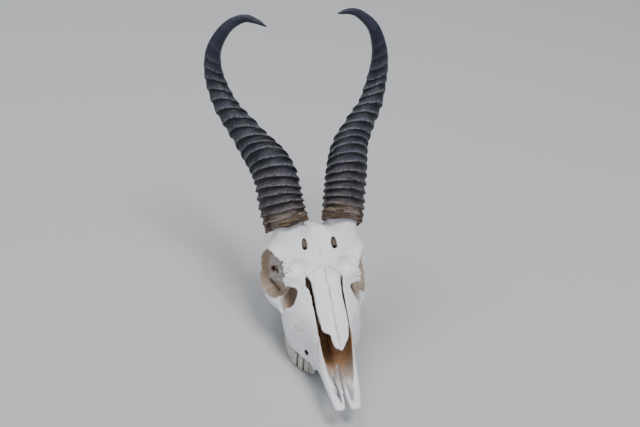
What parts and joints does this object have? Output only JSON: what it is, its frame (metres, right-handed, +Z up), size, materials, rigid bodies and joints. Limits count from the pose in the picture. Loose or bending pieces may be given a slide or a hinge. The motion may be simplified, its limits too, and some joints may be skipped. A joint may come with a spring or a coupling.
{
  "type": "springbok skull",
  "caption": "Bleached antelope skull without lower jaw, with two dark ringed horn sheaths that curve up, back and inwards, resting on its cheek teeth.",
  "frame": {"origin": "middle of the whole outline, on the surface that the skull rests on", "axes": "+X to the animal's left, +Y from the muzzle to the back of the head, +Z up"},
  "size_m": [0.1746, 0.2748, 0.2643],
  "materials": {
    "bone": "matt, bleached",
    "horn": "satin, ringed",
    "tooth": "satin"
  },
  "bodies": {
    "root": {"skull": "bone", "right_horn": "horn", "left_horn": "horn", "right_second_premolar": "tooth", "right_third_premolar": "tooth", "right_fourth_premolar": "tooth", "right_first_molar": "tooth", "right_second_molar": "tooth", "right_third_molar": "tooth", "left_second_premolar": "tooth", "left_third_premolar": "tooth", "left_fourth_premolar": "tooth", "left_first_molar": "tooth", "left_second_molar": "tooth", "left_third_molar": "tooth"}
  },
  "joints": []
}
